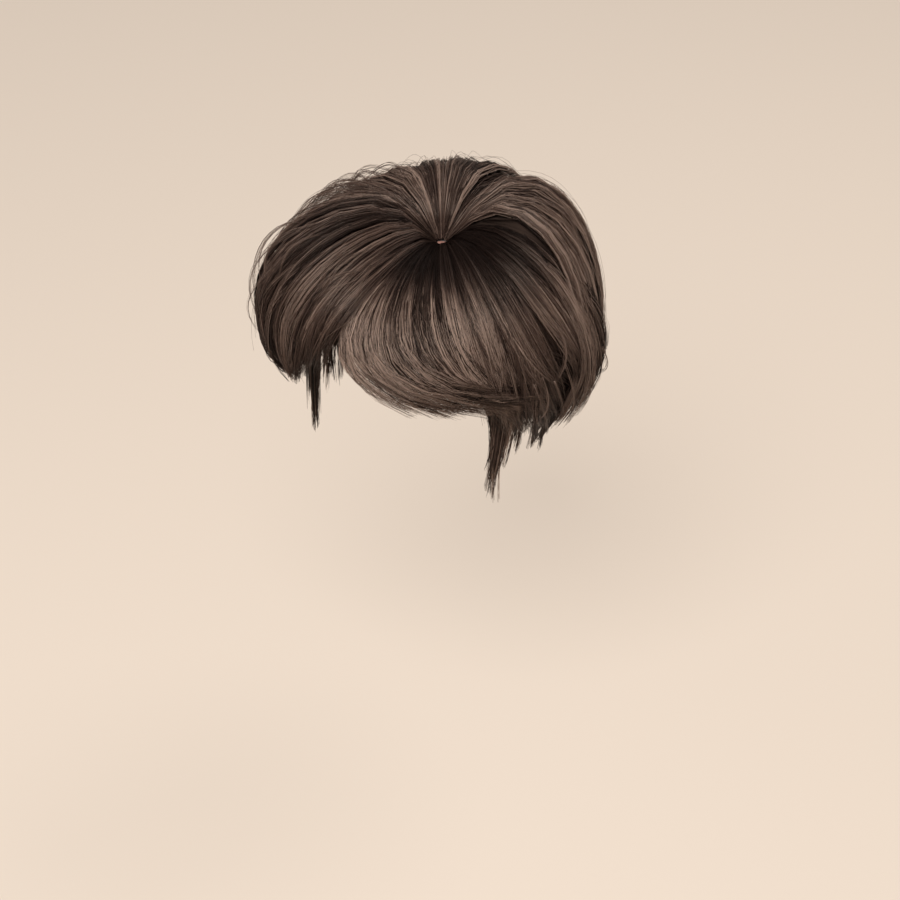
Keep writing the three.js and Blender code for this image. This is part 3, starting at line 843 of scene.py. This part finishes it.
def cap_material():
    material, nodes, links, shader = new_material("cap_net")
    place_at = nodes.new("ShaderNodeTexCoord")
    holes = nodes.new("ShaderNodeTexVoronoi")
    holes.inputs["Scale"].default_value = 700
    holes.inputs["Randomness"].default_value = 0.15
    links.new(place_at.outputs["Object"], holes.inputs["Vector"])
    shade = ramp(nodes, [(0.0, (0.006, 0.005, 0.0045)), (0.6, (0.030, 0.024, 0.020))])
    links.new(holes.outputs["Distance"], shade.inputs["Fac"])
    links.new(shade.outputs["Color"], shader.inputs["Base Color"])
    bump = nodes.new("ShaderNodeBump")
    bump.inputs["Strength"].default_value = 0.6
    bump.inputs["Distance"].default_value = 0.0004
    links.new(holes.outputs["Distance"], bump.inputs["Height"])
    links.new(bump.outputs["Normal"], shader.inputs["Normal"])
    shader.inputs["Roughness"].default_value = 0.85
    shader.inputs["Sheen Weight"].default_value = 0.25
    return material


def patch_material():
    material, nodes, links, shader = new_material("patch_skin")
    place_at = nodes.new("ShaderNodeTexCoord")
    mottle = nodes.new("ShaderNodeTexNoise")
    mottle.inputs["Scale"].default_value = 900
    mottle.inputs["Detail"].default_value = 4
    links.new(place_at.outputs["Object"], mottle.inputs["Vector"])
    shade = ramp(nodes, [(0.3, (0.14, 0.065, 0.050)), (0.7, (0.24, 0.12, 0.095))])
    links.new(mottle.outputs["Fac"], shade.inputs["Fac"])
    links.new(shade.outputs["Color"], shader.inputs["Base Color"])
    bump = nodes.new("ShaderNodeBump")
    bump.inputs["Strength"].default_value = 0.3
    bump.inputs["Distance"].default_value = 0.0003
    links.new(mottle.outputs["Fac"], bump.inputs["Height"])
    links.new(bump.outputs["Normal"], shader.inputs["Normal"])
    shader.inputs["Roughness"].default_value = 0.6
    return material


def clip_material():
    material, nodes, links, shader = new_material("clip_enamel")
    place_at = nodes.new("ShaderNodeTexCoord")
    wear = nodes.new("ShaderNodeTexNoise")
    wear.inputs["Scale"].default_value = 260
    wear.inputs["Detail"].default_value = 5
    links.new(place_at.outputs["Object"], wear.inputs["Vector"])
    shade = ramp(nodes, [(0.35, (0.012, 0.012, 0.013)), (0.75, (0.034, 0.034, 0.037))])
    links.new(wear.outputs["Fac"], shade.inputs["Fac"])
    links.new(shade.outputs["Color"], shader.inputs["Base Color"])
    gloss = ramp(nodes, [(0.3, (0.24, 0.24, 0.24)), (0.8, (0.42, 0.42, 0.42))])
    links.new(wear.outputs["Fac"], gloss.inputs["Fac"])
    links.new(gloss.outputs["Color"], shader.inputs["Roughness"])
    shader.inputs["Coat Weight"].default_value = 0.4
    return material


def floor_material():
    material, _, _, shader = new_material("studio_floor")
    shader.inputs["Base Color"].default_value = (0.20, 0.172, 0.147, 1)
    shader.inputs["Roughness"].default_value = 0.9
    # Its own light evens out the backdrop.
    shader.inputs["Emission Color"].default_value = (0.52, 0.437, 0.362, 1)
    shader.inputs["Emission Strength"].default_value = 1
    return material


# Pieces

def hair_piece(name, parts, materials):
    arrays, slots = join_parts(parts)
    piece = new_mesh(f"{name}_hair", *arrays, materials, slots)
    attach(piece, "root")
    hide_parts(name)


def make_hair(materials):
    sections = lock_rows()
    layers = [named(LAYER_COLUMNS, layer) for layer in LAYERS]
    for i, (name, values) in enumerate(OUTER_STYLES.items()):
        rng = np.random.default_rng(SEED + i)
        style = named(STYLE_COLUMNS, values)
        section = sections[name]
        parts = [outer_core(section, style, rng)]
        parts += [outer_strands(section, style, layer, rng) for layer in layers]
        parts.append(outer_strays(section, style, rng))
        if style["loops"]:
            parts.append(outer_loops(section, style, rng))
        hair_piece(name, parts, materials)
    under_layer = named(LAYER_COLUMNS, UNDER_LAYER)
    for i, (name, values) in enumerate(UNDER_STYLES.items()):
        rng = np.random.default_rng(SEED + len(OUTER_STYLES) + i)
        style = named(UNDER_STYLE_COLUMNS, values)
        table = np.array(UNDER_LOCKS[name], float)
        section = {"table": table, "edges": (table[0, 0] - SPILL, table[-1, 0] + SPILL)}
        parts = [under_core(section, style, rng), under_strands(section, style, under_layer, rng)]
        hair_piece(name, parts, materials)


def cap_wall(grow, around, down):
    """The cap's dome as a grid of points, down to its slanting rim, with a tape along the rim."""
    slope = (CAP["rim_back"] - CAP["rim_front"]) / (2 * DOME["half_length"])
    middle = (CAP["rim_front"] + CAP["rim_back"]) / 2
    half_x, half_y, high = (DOME[k] for k in ("half_width", "half_length", "height"))
    lean = -slope * half_y * np.sin(around)
    lowest = np.arccos((high + middle) / np.hypot(high, lean)) + np.arctan2(lean, high)
    polar = lowest[:, None] * down[None, :]
    to_rim = (lowest[:, None] - polar) * high
    tape = RIM_TAPE["proud"] * smooth((RIM_TAPE["width"] - to_rim) / RIM_TAPE["bevel"])
    thick = grow + np.sign(grow) * tape
    x = (half_x + thick) * np.sin(polar) * np.cos(around)[:, None]
    y = (half_y + thick) * np.sin(polar) * np.sin(around)[:, None]
    z = (high + thick) * np.cos(polar) - high
    return np.stack([x, y, z], axis=-1)


def make_cap(material):
    around = np.linspace(0, 2 * np.pi, CAP["around"], endpoint=False)
    down = np.linspace(CAP["top_gap"], 1, CAP["down"])
    outer = cap_wall(CAP["wall"], around, down)
    inner = cap_wall(SMALL_LENGTH, around, down)
    loops = np.concatenate([outer, inner[:, ::-1]], axis=1)
    columns, ring, _ = loops.shape
    column = np.arange(columns)[:, None] * ring
    next_column = ((np.arange(columns) + 1) % columns)[:, None] * ring
    spot = np.arange(ring - 1)[None, :]
    here, there = column + spot, next_column + spot
    fours = np.stack([here, here + 1, there + 1, there], axis=-1)
    points = loops.reshape(-1, 3)
    top = len(points)
    tips = np.array([[0, 0, CAP["wall"]], [0, 0, 0]])
    fan_outer = np.stack([column[:, 0], next_column[:, 0], np.full(columns, top)], axis=-1)
    fan_inner = np.stack([
        next_column[:, 0] + ring - 1, column[:, 0] + ring - 1, np.full(columns, top + 1)
    ], axis=-1)
    points = np.concatenate([points, tips])
    coords = np.zeros((len(points), 2))
    threes = np.concatenate([fan_outer, fan_inner])
    piece = new_mesh("cap_net", points, fours.reshape(-1, 4), threes, coords, [material])
    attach(piece, "root")
    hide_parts("base_cap")


def dress_node(name, material, bevel):
    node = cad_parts[name]
    node.data.materials.clear()
    node.data.materials.append(material)
    rounding = node.modifiers.new("rounded_edges", "BEVEL")
    rounding.width = bevel * MM
    rounding.segments = BEVEL["segments"]
    rounding.limit_method = "ANGLE"


# Stage

def direction(azimuth, elevation):
    """From the part outwards, by degrees round from the front and up."""
    a, e = math.radians(azimuth), math.radians(elevation)
    return Vector((math.sin(a) * math.cos(e), -math.cos(a) * math.cos(e), math.sin(e)))


def face_along(piece, way):
    piece.rotation_euler = way.to_track_quat("-Z", "Y").to_euler()


def add_light(name, azimuth, elevation, distance, size, energy, colour):
    data = bpy.data.lights.new(name, "AREA")
    data.shape = "DISK"
    data.size = size
    data.energy = energy
    data.color = colour
    light = bpy.data.objects.new(name, data)
    bpy.context.scene.collection.objects.link(light)
    back = direction(azimuth, elevation)
    light.location = Vector(LIGHTS_AIM) + back * distance
    face_along(light, -back)


def make_stage():
    mesh = bpy.data.meshes.new("floor")
    reach = FLOOR["reach"]
    corners = [(-reach, -reach), (reach, -reach), (reach, reach), (-reach, reach)]
    mesh.from_pydata([(x, y, FLOOR["height"]) for x, y in corners], [], [(0, 1, 2, 3)])
    mesh.materials.append(floor_material())
    floor = bpy.data.objects.new("floor", mesh)
    bpy.context.scene.collection.objects.link(floor)
    for name, values in LIGHTS.items():
        add_light(name, *values)
    world = bpy.data.worlds.new("studio")
    bpy.context.scene.world = world
    world.use_nodes = True
    background = world.node_tree.nodes["Background"]
    background.inputs["Color"].default_value = WORLD["colour"]
    background.inputs["Strength"].default_value = WORLD["strength"]


def make_camera():
    back = direction(CAMERA["azimuth"], CAMERA["elevation"])
    azimuth = math.radians(CAMERA["azimuth"])
    right = Vector((math.cos(azimuth), math.sin(azimuth), 0))
    up = back.cross(right)
    data = bpy.data.cameras.new("camera")
    data.lens = CAMERA["lens"]
    data.sensor_width = CAMERA["sensor"]
    camera = bpy.data.objects.new("camera", data)
    bpy.context.scene.collection.objects.link(camera)
    camera.location = back * CAMERA["distance"]
    aim = -right * OFF_MIDDLE["across"] - up * OFF_MIDDLE["up"]
    face_along(camera, aim - camera.location)
    bpy.context.scene.camera = camera
    bpy.context.scene.view_settings.view_transform = "Standard"


make_hair([hair_material(), core_material()])
make_cap(cap_material())
dress_node("crown_patch", patch_material(), BEVEL["patch"])
enamel = clip_material()
for clip in ("clip_front", "clip_left", "clip_right", "clip_back"):
    dress_node(clip, enamel, BEVEL["clip"])
make_stage()
make_camera()
